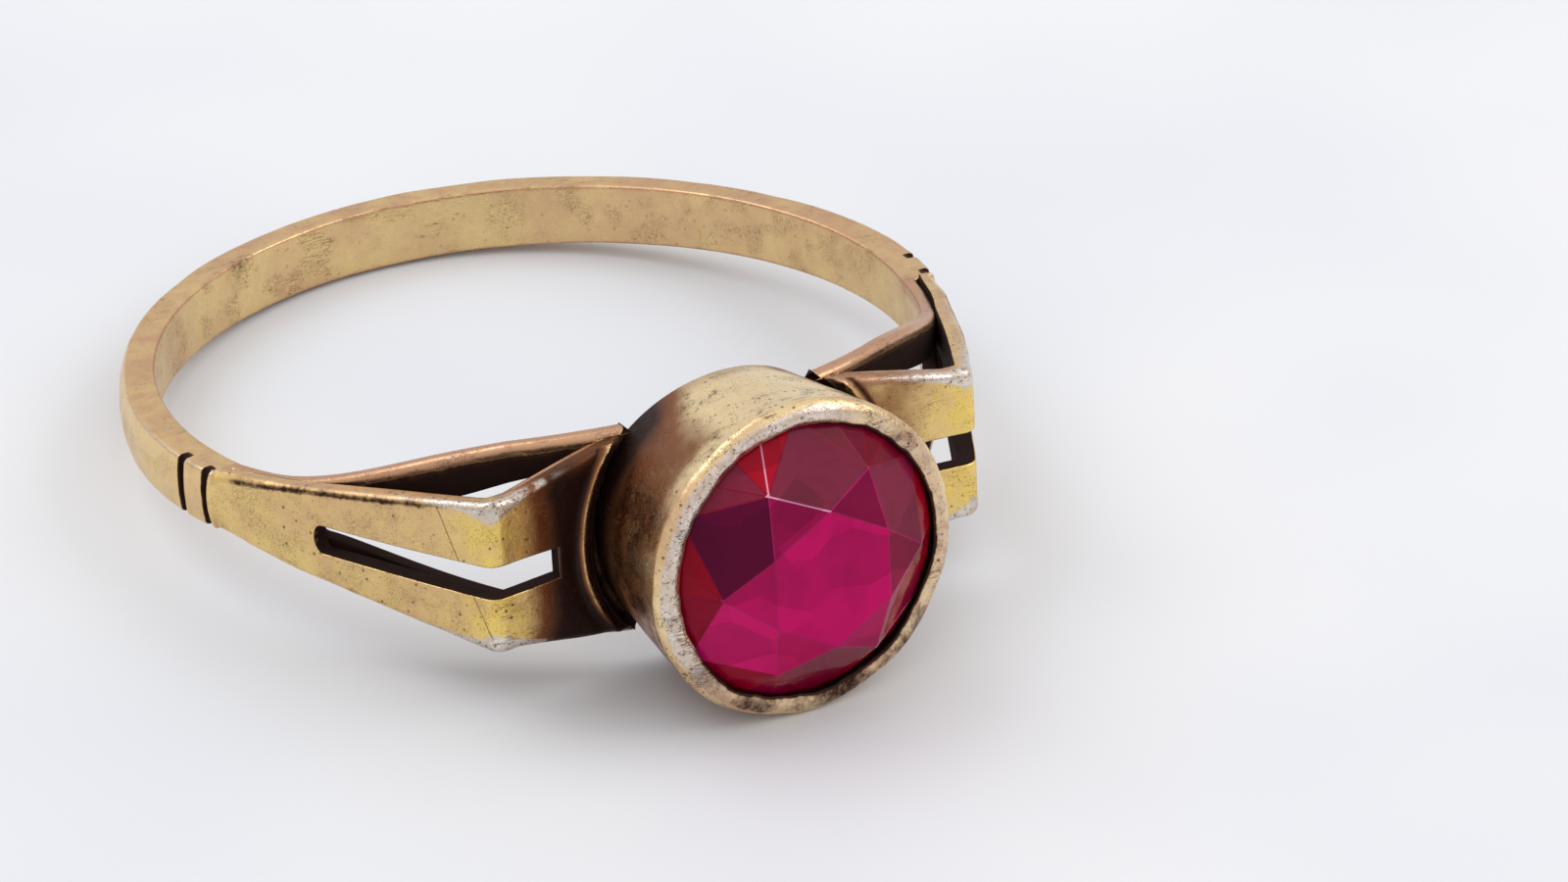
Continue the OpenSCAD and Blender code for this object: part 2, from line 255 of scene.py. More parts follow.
class Nodes:
    """A short way to write a node tree. Textures are placed in millimetres."""

    def __init__(self, name):
        self.material = bpy.data.materials.new(name)
        self.material.use_nodes = True
        self.tree = self.material.node_tree
        self.shader = self.tree.nodes["Principled BSDF"]
        scale = self.new("VectorMath")
        scale.operation = "SCALE"
        scale.inputs["Scale"].default_value = 1000
        self.put(scale.inputs[0], self.new("TexCoord").outputs["Object"])
        self.mm = scale.outputs[0]

    def put(self, socket, value):
        if isinstance(value, bpy.types.NodeSocket):
            self.tree.links.new(value, socket)
        else:
            socket.default_value = value

    def fill(self, node, inputs):
        """Gives the node's named inputs their values or links; an underscore stands for a space."""
        for name, value in inputs.items():
            self.put(node.inputs[name.replace("_", " ")], value)
        return node

    def new(self, kind, **inputs):
        return self.fill(self.tree.nodes.new("ShaderNode" + kind), inputs)

    def surface(self, **inputs):
        """Sets the shader's inputs and returns the material."""
        self.fill(self.shader, inputs)
        return self.material

    def attribute(self, name, output="Fac"):
        n = self.new("Attribute")
        n.attribute_name = name
        return n.outputs[output]

    def mapped(self, scale=(1, 1, 1), turn=(0, 0, 0)):
        turn = [deg(a) for a in turn]
        return self.new("Mapping", Vector=self.mm, Scale=scale, Rotation=turn).outputs[0]

    def noise(self, scale, detail, rough, vector=None, distort=0.0):
        n = self.new("TexNoise", Vector=vector or self.mm, Scale=scale, Detail=detail,
                     Roughness=rough, Distortion=distort)
        return n.outputs["Fac"]

    def cells(self, scale, vector, output):
        return self.new("TexVoronoi", Vector=vector, Scale=scale).outputs[output]

    def math(self, kind, a, b=0.0):
        n = self.new("Math")
        n.operation = kind
        self.put(n.inputs[0], a)
        self.put(n.inputs[1], b)
        return n.outputs[0]

    def add(self, a, b):
        return self.math("ADD", a, b)

    def less(self, a, b):
        return self.math("SUBTRACT", a, b)

    def times(self, a, b):
        return self.math("MULTIPLY", a, b)

    def swing(self, noise, amount):
        """A noise from 0 to 1 turned into one about 0, times the amount."""
        return self.times(self.less(noise, 0.5), amount)

    def step(self, value, low, high, to_low=0.0, to_high=1.0):
        n = self.new("MapRange", Value=value, From_Min=low, From_Max=high, To_Min=to_low,
                     To_Max=to_high)
        n.interpolation_type = "SMOOTHSTEP"
        return n.outputs["Result"]

    def hairlines(self, scale, turn, width):
        """Thin lines: the narrow band where a stretched noise passes through its middle value."""
        streak = self.noise(1.0, 1, 0.4, self.mapped(scale, turn))
        return self.step(self.math("ABSOLUTE", self.less(streak, 0.5)), 0.0, width, 1.0, 0.0)

    def mix(self, factor, a, b, blend="MIX"):
        n = self.new("Mix", Factor=factor)
        n.data_type = "RGBA"
        n.blend_type = blend
        self.put(n.inputs[6], a)
        self.put(n.inputs[7], b)
        return n.outputs[2]

    def bump(self, height, distance, strength):
        return self.new("Bump", Height=height, Distance=distance * MM, Strength=strength).outputs[0]


def srgb(r, g, b):
    """A linear colour from the 0 to 255 values that a picture shows."""
    def one(v):
        v /= 255
        return v / 12.92 if v <= 0.04045 else ((v + 0.055) / 1.055) ** 2.4
    return (one(r), one(g), one(b), 1.0)


GOLD = srgb(230, 200, 144)
BRIGHT = srgb(232, 198, 112)
COPPER = srgb(203, 158, 128)
SILVER = srgb(206, 196, 186)
GRIME_AND_SHADE = srgb(74, 42, 28)
TARNISH_AND_SHADE_BROWN = srgb(136, 88, 56)
PATINA_AND_SHADE_BLACK = srgb(40, 22, 17)
PAINTED_HIGHLIGHT_PALE = srgb(246, 238, 230)
NICK_DARK = srgb(96, 64, 52)


def scratches(n, place, grain, dust, width):
    """Hairlines in three directions, in patches, and the one long scratch."""
    lines = None
    directions = (((0, 0, 25), 0.35), ((40, 10, -50), 0.25), ((80, 35, 10), 0.5))
    for k, (turn, stretch) in enumerate(directions):
        line = n.hairlines((stretch, 9 + 3 * k, 9 + 3 * k), turn, width)
        lines = line if lines is None else n.math("MAXIMUM", lines, line)
    lines = n.times(lines, n.step(n.noise(1.3, 2, 0.5, place), 0.5, 0.62))
    long_line = n.math("ABSOLUTE", n.add(n.attribute("scratch"), n.swing(grain, 0.03)))
    long_line = n.step(long_line, 0.008, 0.022, 1.0, 0.0)
    return n.math("MAXIMUM", lines, n.times(long_line, n.step(dust, 0.35, 0.5, 0.6, 1.0)))


def pits_and_specks(n, place, patch, dust, amount):
    """Dark pits in some patches and small specks in others."""
    pits = n.step(n.cells(4.2, n.mapped(turn=(3, 50, 11)), "Distance"), 0.07, 0.22, 1.0, 0.0)
    pits = n.times(pits, n.step(n.noise(1.1, 2, 0.5, place), 0.43, 0.56))
    specks = n.times(n.step(dust, 0.58, 0.68), n.step(patch, 0.38, 0.58))
    spots = n.math("MAXIMUM", pits, n.times(specks, 0.6))
    return n.math("MINIMUM", n.times(spots, amount), 1.0)


def worn_metal(name, gold, bright, copper, silver, grime=GRIME_AND_SHADE, speckle=1.0, rough=0.3, seed=0,
               line_w=0.014, line_f=0.6):
    """Old gilt: gold over a paler metal, coppery and silvery where it has rubbed, brown with dirt in
    recesses, with painted shade between parts and painted highlights. The point attributes for dirt and
    painted shade, rubbing, copper and painted highlight say where each of these gathers. The attribute
    shade says how far a surface is darkened, mostly as painted shade and painted dark reflection, and
    scratch how far away the long scratch is."""
    n = Nodes(name)
    place = n.mapped(turn=(17 + seed, 31, 8 + seed))
    broad = n.noise(0.55, 3, 0.6, place)
    patch = n.noise(2.4, 4, 0.6, place)
    grain = n.noise(9.0, 3, 0.65, place)
    dust = n.noise(24.0, 2, 0.6, place)
    chip = n.noise(10.0, 3, 0.7, place, 0.4)
    lines = scratches(n, place, grain, dust, line_w)
    spots = pits_and_specks(n, place, patch, dust, speckle)

    # The noises break up the edges of what the attributes place.
    grime_and_shade_at = n.add(n.attribute("grime"), n.swing(patch, 0.75))
    grime_and_shade_f = n.step(n.add(grime_and_shade_at, n.swing(grain, 0.5)), 0.3, 0.8)
    rub_f = n.step(n.add(n.attribute("rub"), n.swing(grain, 0.9)), 0.42, 0.75)
    copper_f = n.step(n.add(n.attribute("copper"), n.swing(patch, 0.9)), 0.35, 0.8)
    painted_highlight_f = n.step(n.add(n.attribute("glow"), n.swing(patch, 0.8)), 0.3, 0.8)
    shade = n.add(n.attribute("shade"), n.swing(patch, 0.16))
    hollow = n.step(n.attribute("grime"), 1.12, 1.24)
    nicked = n.step(n.attribute("rub"), 0.55, 0.8)

    colour = n.mix(n.step(broad, 0.35, 0.65), gold, n.mix(0.5, gold, copper))
    colour = n.mix(n.times(n.step(grain, 0.45, 0.7), 0.25), colour, bright)
    # Painted highlight: bright gold where the attribute places it.
    colour = n.mix(painted_highlight_f, colour, bright)
    colour = n.mix(n.times(copper_f, 0.85), colour, copper)
    colour = n.mix(n.times(rub_f, 0.9), colour, silver)
    colour = n.mix(n.times(spots, 0.7), colour, grime)
    colour = n.mix(n.times(lines, line_f), colour, grime)
    deep_grime_and_shade = tuple(0.35 * c for c in grime[:3]) + (1.0,)
    # Brown dirt, and painted shade in the same brown.
    colour = n.mix(grime_and_shade_f, colour, n.mix(n.step(patch, 0.3, 0.7), grime, deep_grime_and_shade))

    # Painted shade and painted dark reflection: the folded panels pass smoothly from gold through
    # orange-brown to nearly black.
    colour = n.mix(n.step(shade, 0.06, 0.5), colour, TARNISH_AND_SHADE_BROWN)
    colour = n.mix(n.step(shade, 0.42, 0.95), colour, PATINA_AND_SHADE_BLACK)
    # Near-black: dark patina in the cut lines, and painted shade in the gaps between parts and between
    # stone and rim.
    colour = n.mix(hollow, colour, PATINA_AND_SHADE_BLACK)
    # The most rubbed edges are nicked, with dirt between the chips and near-white patches on them as
    # painted highlights.
    colour = n.mix(n.times(nicked, n.step(patch, 0.42, 0.6, 0.0, 0.5)), colour, PAINTED_HIGHLIGHT_PALE)
    colour = n.mix(n.times(nicked, n.step(chip, 0.44, 0.36, 0.0, 0.75)), colour, NICK_DARK)

    # Dirt isn't metallic, and the near-black patina and painted shade least of all.
    dark = n.math("MAXIMUM", hollow, n.step(shade, 0.42, 0.95))
    metal = n.times(n.step(grime_and_shade_f, 0.2, 1.0, 1.0, 0.35), n.step(dark, 0.0, 1.0, 1.0, 0.4))
    r = n.add(n.add(rough, n.swing(patch, 0.22)), n.swing(dust, 0.16))
    for amount, share in ((grime_and_shade_f, 0.28), (hollow, 0.3), (spots, 0.2)):
        r = n.add(r, n.times(amount, share))
    r = n.less(r, n.times(nicked, 0.1))

    height = n.add(n.times(patch, 0.8), n.times(grain, 0.35))
    height = n.add(height, n.times(dust, 0.14))
    height = n.less(height, n.times(lines, 0.35))
    height = n.less(height, n.times(spots, 0.3))
    height = n.add(height, n.times(nicked, n.times(chip, 0.55)))
    return n.surface(Base_Color=colour, Metallic=metal, Specular_IOR_Level=0.2,
                     Roughness=n.math("MAXIMUM", r, 0.12), Normal=n.bump(height, 0.022, 0.8))


gilt = worn_metal("gilt", GOLD, BRIGHT, COPPER, SILVER, speckle=0.4)
strip_gilt = worn_metal("strip_gilt", srgb(232, 201, 134), srgb(244, 212, 112), COPPER, SILVER,
                        speckle=1.3)
bezel_metal = worn_metal("bezel_gilt", srgb(238, 212, 162), srgb(250, 230, 182),
                         srgb(204, 156, 126), srgb(214, 198, 184), speckle=2.2, seed=40,
                         line_w=0.03, line_f=0.85)
solder_metal = worn_metal("solder", srgb(120, 88, 60), srgb(150, 116, 78), srgb(110, 74, 54),
                          srgb(140, 124, 108), srgb(38, 22, 16), speckle=1.2, rough=0.45, seed=75)


# ---- Hoop and inner arms ----

def arm_half(y):
    """Half height of the hoop and its arms: slim at the back, flaring out towards the bezel."""
    taper = FRONT_HALF + (HOOP_HALF - FRONT_HALF) * (y - START_P[1]) / (HOOP_R - START_P[1])
    ahead = np.maximum(0, START_P[1] - y)
    t = np.clip((-y - FLARE_Y) / FLARE_LEN, 0, 1)
    rise = ARM_HALF - FRONT_HALF - ARM_SLOPE * (FLARE_Y + FLARE_LEN + START_P[1])
    flare = FRONT_HALF + ARM_SLOPE * ahead + rise * (1 - np.cos(math.pi * t)) / 2
    return np.where(y > START_P[1], taper, flare)


def fork_half(y):
    """Half height of the gap between the upper and the lower bar of each inner arm."""
    ahead = FORK_START - FORK_Y - y
    start = np.sqrt(np.maximum(0, FORK_START ** 2 - np.maximum(0, FORK_START - ahead) ** 2))
    start = np.where(ahead <= 0, 0, start)
    wide = FORK_START + (FORK_END - FORK_START) * (np.maximum(0, -y - FORK_Y) / FORK_LEN) ** 1.5
    return np.where(ahead < FORK_START, start, wide)


def row_angles(turn_in, end):
    """Angles of the rows, from bezel to bezel round the back, which is at 0. They lie closer together
    at the cut lines, at the step down to the arm and at the start of the fork."""
    cuts, step_down, arm = deg(94.4), deg(102), deg(104)
    fork = math.acos((FORK_START - FORK_Y) / ARM_MID_R)
    fork_full = math.acos(-FORK_Y / ARM_MID_R)
    ease = 1 - np.cos(np.linspace(0, math.pi / 2, 9))
    steps = [np.arange(0, cuts, deg(0.75)), np.arange(cuts, step_down, deg(0.1)),
             np.arange(step_down, arm, deg(0.25)), np.arange(arm, fork, deg(0.7)),
             fork + (fork_full - fork) * ease,
             np.arange(fork_full + deg(0.3), turn_in, deg(0.7)), np.linspace(turn_in, end, 14)]
    half = np.unique(np.concatenate(steps).round(6))
    return np.concatenate([-half[:0:-1], half])


def bar_section(outer, h, g, edge_out):
    """Radii and heights round the upper bar's section, a row for each angle: out along the gap's
    wall, over the outside, round the top edge and down the bore. Where there is no gap, g is 0."""
    edge_in = 0.06
    gap_ease = 0.03 * np.minimum(1, g / 0.15)
    arc = np.linspace(0, math.pi / 2, 6)[None, :]
    arc_in = np.linspace(0, math.pi / 2, 5)[None, :]
    at_edge = outer(h - edge_out)
    at_gap = outer(g + gap_ease)
    parts = []
    t = np.linspace(0, 1, 5)[None, :]
    parts.append((BORE_R + gap_ease + (at_gap - BORE_R - 2 * gap_ease) * t, g + 0 * t))
    parts.append((at_gap - 0.3 * gap_ease, g + 0.3 * gap_ease))
    z = g + gap_ease + (h - edge_out - g - gap_ease) * np.linspace(0, 1, 14)[None, :-1]
    parts.append((outer(z), z))
    parts.append((at_edge - edge_out + edge_out * np.cos(arc), h - edge_out + edge_out * np.sin(arc)))
    t = np.linspace(0, 1, 6)[None, 1:-1]
    parts.append((at_edge - edge_out + (BORE_R + edge_in - at_edge + edge_out) * t, h + 0 * t))
    parts.append((BORE_R + edge_in - edge_in * np.sin(arc_in) + 0 * h,
                  h - edge_in + edge_in * np.cos(arc_in)))
    z = h - edge_in + (g + gap_ease - h + edge_in) * np.linspace(0, 1, 12)[None, 1:]
    parts.append((BORE_R + 0 * z, z))
    parts.append((BORE_R + 0.3 * gap_ease, g + 0.3 * gap_ease))
    return [np.concatenate([part[i] for part in parts], 1) for i in (0, 1)]


def hoop_marks(p, r, z, h, g, theta, cut, on_arm, up):
    """Where the upper or the lower half of the hoop is dirty or in painted shade, rubbed, coppery or
    brightened by painted highlight.
    """
    at = np.abs(theta)
    below = h - z
    top = smooth(0.12, 0.02, below)
    band = smooth(0.38, 0.14, below)
    bore = smooth(0.06, 0.0, r - BORE_R)
    wall = smooth(0.05, 0.02, z - g) * (g > 0)
    smudge = bump_at(theta, deg(-24), 0.1) * smooth(-0.2, 0.6, up * z / h)
    # The cut lines hold dark patina. The inner arm's outer face behind the strip, the fork gap's walls
    # and the arms' ends near the bezel are darkened as painted shade; the bore and one smudge have real
    # dirt.
    grime = 1.4 * smooth(0.02, 0.3, cut + 0 * r) * smooth(9.1, 9.2, r)
    for dirt in (1.24 * on_arm * smooth(8.75, 8.9, r) * (1 - band),
                 1.3 * wall,
                 bore * (0.05 + 0.07 * slow(p * 0.8 + 9)),
                 0.42 * smudge * (r < 8.8),
                 0.7 * smooth(deg(144), deg(156), at) * (1 - 0.9 * band)):
        grime = np.maximum(grime, dirt)
    rub = 0.42 * top * (1 - on_arm) * (0.7 + 0.5 * slow(p * 1.1 + 2))
    rub = rub + 0.4 * bump_at(r, 9.4, 0.06) * top
    copper = 0.5 * top + 0.95 * on_arm * band + 0.22 * bore
    # Painted highlight: a little all over, more along the middle of the hoop's outer face.
    glow = 0.15 + 0.3 * smooth(0.5, 0.0, z / h) * (r > 9.2) + 0 * r
    return dict(grime=grime, rub=rub, copper=copper, glow=glow)


def shank():
    end = math.pi - math.asin(SOLDER_R / ARM_MID_R)
    turn_in = end - ARM_TURN_IN
    theta = row_angles(turn_in, end)[:, None]
    at = np.abs(theta)
    n = len(theta)
    y = ARM_MID_R * np.cos(at)
    h = arm_half(y)
    g = fork_half(y)
    full = 1 - smooth(deg(102.2), deg(103.4), at)
    cuts = [math.pi / 2 + START - math.asin((CUT_START + k * CUT_PITCH) / HOOP_R) for k in (0, 1)]
    half_cut = math.asin(CUT_HALF / HOOP_R)
    cut = sum(np.clip((half_cut - np.abs(at - c)) / (half_cut * 0.3), 0, 1) for c in cuts)
    flat = 1 - 0.62 * smooth(deg(50), deg(93), at)

    def outer(z):
        return ARM_R + full * (HOOP_R - crown_drop(z, 0.8) * flat - ARM_R) - CUT_DEPTH * cut

    r, z = bar_section(outer, h, g, np.where(full > 0.5, 0.12, 0.15))
    m = r.shape[1]

    # The arms end on the curve of the solder round the bezel, and the last rows turn in to it.
    x_end = np.sqrt(SOLDER_R ** 2 - np.minimum(np.abs(z), 3.2) ** 2)
    end_at = math.pi - np.arcsin(x_end / r)
    t = np.clip((at - turn_in) / (end - turn_in), 0, 1)
    ang = np.where(t > 0, turn_in + (end_at - turn_in) * t, at) * np.sign(theta)

    def skip_wall(i, j):
        in_wall = j < 5 or j == m - 1
        return in_wall and g[i, 0] <= 0 and g[i + 1, 0] <= 0

    verts, marks, faces = [], [], []
    for k, up in enumerate((1, -1)):
        p = np.stack([r * np.sin(ang), r * np.cos(ang), up * z], -1)
        # Long use has left the outer edges slightly uneven; the finger hole stays true.
        out = np.clip((r - BORE_R - 0.1) / 0.4, 0, 1)
        worn_r = r + out * (0.012 * slow(p * 2) + 0.007 * mid(p) + 0.003 * fine(p) - 0.012)
        near_top = smooth(0.55, 1.0, z / h)
        worn_z = up * (z - near_top * (0.008 + 0.008 * slow(p * 1.7 + 4)))
        p = np.stack([worn_r * np.sin(ang), worn_r * np.cos(ang), worn_z], -1)
        verts.append(p.reshape(-1, 3))
        marks.append(hoop_marks(p, r, z, h, g, theta, cut, 1 - full + 0 * r, up))
        base = k * n * m
        faces += grid_faces(n, m, base, close_cols=True, skip=skip_wall)
        faces += [[base + j for j in range(m)], [base + (n - 1) * m + j for j in range(m)]]
    marks = {key: np.concatenate([(half[key] + 0 * r).ravel() for half in marks]) for key in marks[0]}
    obj = build("shank_metal", np.concatenate(verts), faces, marks, merge=0.0008)
    finish_piece(obj, "shank", gilt)


# ---- Shoulders ----

face_len = np.linalg.norm(CORNER_P - START_P)
face_dir = (CORNER_P - START_P) / face_len
face_out = np.array([-face_dir[1], face_dir[0]])
face_r = (face_len ** 2 / 4 + FACE_BOW ** 2) / (2 * FACE_BOW)
face_c = (START_P + CORNER_P) / 2 - face_out * (face_r - FACE_BOW)


def face_point(t, inset):
    """A point in plan on the bowed face, from 0 at the hoop to 1 at the corner."""
    half = math.asin(face_len / 2 / face_r)
    a = math.atan2(face_out[1], face_out[0]) + half - 2 * half * np.asarray(t, float)
    return face_c + (face_r - inset) * np.stack([np.cos(a), np.sin(a)], -1)


def panel_y(x, inset):
    return -(-CORNER_P[1] - PANEL_SLOPE * (CORNER_P[0] - x)) + inset


def end_x(z):
    """The strip's cut end curves with the bezel."""
    return np.sqrt(SOLDER_R ** 2 - z ** 2)


def shoulder_paths():
    """Outer and inner lines of the strip in plan, from the hoop to the slot's square end."""
    d = CORNER_P - face_point(0.97, 0)
    d /= np.linalg.norm(d)
    e = np.array([-1, PANEL_SLOPE])
    e /= np.linalg.norm(e)
    turn = math.acos(d @ e)
    out_n = np.array([-d[1], d[0]])
    arcs = []
    for r, inset in ((CORNER_R_OUT, 0.0), (CORNER_R_IN, STRIP_T)):
        c = CORNER_P - d * (r + inset) * math.tan(turn / 2) - out_n * (r + inset)
        a = math.atan2(out_n[1], out_n[0]) - turn * np.linspace(0, 1, 13)
        arcs.append(c + r * np.stack([np.cos(a), np.sin(a)], -1))
    t = np.linspace(0, 1, 2001)
    begin, full = np.interp([-SLOT_Y - SLOT_NOSE, -SLOT_Y], -face_point(t, 0)[:, 1], t)
    nose = 1 - np.cos(np.radians(np.linspace(14, 90, 7))) ** (2 / NOSE_POWER)
    t = np.concatenate([np.linspace(-0.012, begin - 0.001, 26), begin + (full - begin) * nose,
                        np.linspace(full + 0.012, 0.93, 36)])
    lines = []
    for arc, inset in zip(arcs, (0, STRIP_T)):
        x = arc[-1][0] + (SLOT_X - arc[-1][0]) * np.linspace(0, 1, 12)[1:]
        panel = np.stack([x, panel_y(x, inset)], -1)
        lines.append(np.concatenate([face_point(t, inset), arc, panel]))
    return lines


def strip_half(p):
    """Half width of the strip at plan points."""
    x, y = p[:, 0], p[:, 1]
    along = np.clip((START_P[1] - y) / (START_P[1] - CORNER_P[1]), -0.05, 1)
    on_face = FRONT_HALF + (CORNER_HALF - FRONT_HALF) * along
    across = np.clip((BEND_X - x) / (BEND_X - WIDE_X), 0, 1)
    on_panel = CORNER_HALF + (PANEL_HALF - CORNER_HALF) * across
    return np.where(x < BEND_X, on_panel, on_face)


def slot_half(p):
    """Half width of the slot at plan points."""
    x, y = p[:, 0], p[:, 1]
    d = np.clip((SLOT_Y + SLOT_NOSE - y) / SLOT_NOSE, 0, 1)
    nose = (1 - (1 - d) ** NOSE_POWER) ** (1 / NOSE_POWER)
    along = np.clip((SLOT_Y - y) / (SLOT_Y - CORNER_P[1]), 0, 1)
    on_face = nose * (SLOT_START + (SLOT_CORNER - SLOT_START) * along)
    across = np.clip((x - SLOT_X) / (BEND_X - SLOT_X), 0, 1)
    on_panel = SLOT_END + (SLOT_CORNER - SLOT_END) * across
    return np.where(x < BEND_X, on_panel, on_face)


def strip_section(half, slot):
    """Depths and heights round the upper half's section: up the slot's wall, over the outer face and
    the edge, and down the back."""
    top_out, top_in = half - STRIP_EDGE_OUT, half - STRIP_EDGE_IN
    arc = np.linspace(0, math.pi / 2, 6)[1:]
    arc_in = np.linspace(0, math.pi / 2, 4)[1:]
    parts = [(np.array([STRIP_T, 0.3, 0.16, 0.04]), np.full(4, slot)),
             (np.zeros(16), slot + (top_out - slot) * np.linspace(0, 1, 16)),
             (STRIP_EDGE_OUT * (1 - np.cos(arc)), top_out + STRIP_EDGE_OUT * np.sin(arc)),
             (np.linspace(STRIP_EDGE_OUT, STRIP_T - STRIP_EDGE_IN, 5)[1:], np.full(4, half)),
             (STRIP_T - STRIP_EDGE_IN + STRIP_EDGE_IN * np.sin(arc_in),
              top_in + STRIP_EDGE_IN * np.cos(arc_in)),
             (np.full(10, STRIP_T), np.linspace(top_in, slot, 12)[1:-1])]
    return [np.concatenate([part[i] for part in parts]) for i in (0, 1)]


def strip_mesh():
    """The right strip's points, how deep each lies below the outer face, its share of the way from the
    slot's square end to the cut end, and the faces."""
    outer, inner = shoulder_paths()
    slot = slot_half(outer)
    rows = []
    for p_out, p_in, half, gap in zip(outer, inner, strip_half(outer), slot):
        d, z = strip_section(half, gap)
        rows.append((p_out + (p_in - p_out) * (d / STRIP_T)[:, None], d, z))

    # Past the slot the strip runs whole to its cut end, with more rows near the end for the lip.
    tail = np.concatenate([np.linspace(0, 0.45, 6)[1:], np.linspace(0.45, 1, 20)[1:]])
    slot_end_half = CORNER_HALF + (PANEL_HALF - CORNER_HALF) * (BEND_X - SLOT_X) / (BEND_X - WIDE_X)
    for k in tail:
        d, z = strip_section(slot_end_half + (PANEL_HALF - slot_end_half) * k, SLOT_END)
        x = SLOT_X + (end_x(z) - SLOT_X) * k
        rows.append((np.stack([x, panel_y(x, 0) + d], -1), d, z))
    plan, depth, z = (np.stack([row[i] for row in rows]) for i in range(3))
    n0, n, m = len(outer), *z.shape
    share = np.concatenate([np.zeros(n0), tail])[:, None] + 0 * z

    def skip_wall(i, j):
        """There is no slot wall before the slot starts or past its end."""
        return j < 4 and (i + 1 >= n0 or (slot[i] <= 0 and slot[i + 1] <= 0))

    points, depths, shares, faces = [], [], [], []
    for k, up in enumerate((1, -1)):
        points.append(np.concatenate([plan, up * z[..., None]], -1).reshape(-1, 3))
        depths.append(depth.ravel())
        shares.append(share.ravel())
        faces += grid_faces(n, m, k * n * m, close_cols=True, skip=skip_wall)
    caps = (0, n * m, (n - 1) * m, (2 * n - 1) * m)
    faces += [list(range(start, start + m)) for start in caps]

    # The bridge past the slot: its outer and inner faces, the slot's end wall and the cut end.
    z = np.linspace(-SLOT_END, SLOT_END, 9)[None]
    along = np.concatenate([[0], tail])[:, None]
    through = np.linspace(STRIP_T, 0, 5)[:, None]
    for k, d in ((along, 0.0), (along, STRIP_T), (0.0, through), (1.0, through)):
        x, d, k, zz = np.broadcast_arrays(SLOT_X + (end_x(z) - SLOT_X) * k, d, k, z)
        faces += grid_faces(*x.shape, sum(len(p) for p in points))
        points.append(np.stack([x, panel_y(x, 0) + d, zz], -1).reshape(-1, 3))
        depths.append(d.ravel())
        shares.append(k.ravel())
    v = np.concatenate(points)
    v[:, 2] -= SLOT_DROP * smooth(1.4, 0.4, np.abs(v[:, 2])) * smooth(-3.2, -4.4, v[:, 1])
    return v, np.concatenate(depths), np.concatenate(shares), faces


def wear_strip(v, dep, along, from_end):
    """Runs the hoop's crown out into the flat face, raises a lip near the cut end and dents the edges,
    in place. Nothing of the strip's back goes inside the inner arm."""
    out = smooth(0.3, 0.0, dep)
    fade = 1 - smooth(-0.2, 1.5, along)
    lip = 0.09 * bump_at(from_end, LIP_FROM_END, 0.1) - 0.02 * bump_at(from_end, 0.56, 0.12)
    wear = 0.012 * slow(v * 1.6 + 3) + 0.006 * mid(v)
    edge = smooth(0.5, 0.0, np.abs(np.abs(v[:, 2]) - np.where(v[:, 0] < BEND_X, 2.1, 1.2)))
    push = out * (lip - fade * crown_drop(v[:, 2], 0.75) * 0.85 + wear - 0.01)
    outward = np.where((v[:, 0] < 5.9)[:, None], np.array([[0.0, -1.0]]), face_out[None])
    v[:, :2] += outward * push[:, None]
    dent = 0.012 * slow(v * 1.9 + 7) * edge
    v[:, 2] += np.sign(v[:, 2]) * smooth(0.1, 0.6, np.abs(v[:, 2])) * dent
    r = np.hypot(v[:, 0], v[:, 1])
    short = np.maximum(0, ARM_R + 0.005 - r) * (dep > 0.2)
    v[:, :2] *= (1 + short / r)[:, None]


def long_scratch(v, dep, side):
    """Distance from the one long scratch across the left strip's outer face, and 1 elsewhere."""
    a, b = np.array([-7.85, 1.45]), np.array([-8.95, -1.35])
    across = np.array([b[1] - a[1], a[0] - b[0]]) / np.linalg.norm(b - a)
    distance = (v[:, 1] - a[0]) * across[0] + (v[:, 2] - a[1]) * across[1]
    off = (dep > 0.03) | (v[:, 0] < BEND_X) | (np.abs(v[:, 2]) > 1.5) | (side > 0)
    return np.where(off, 1, distance)


def in_slot(v, dep, share):
    """Which points are on the walls of the slot."""
    y = v[:, 1] + dep * np.where(v[:, 0] > BEND_X, face_out[1], 0)
    half = slot_half(np.stack([v[:, 0], y], -1))
    started = y < SLOT_Y + SLOT_NOSE + 0.02
    return (np.abs(v[:, 2] + SLOT_DROP) < half + 0.02) & started & (dep > 0.02) & (share <= 0)


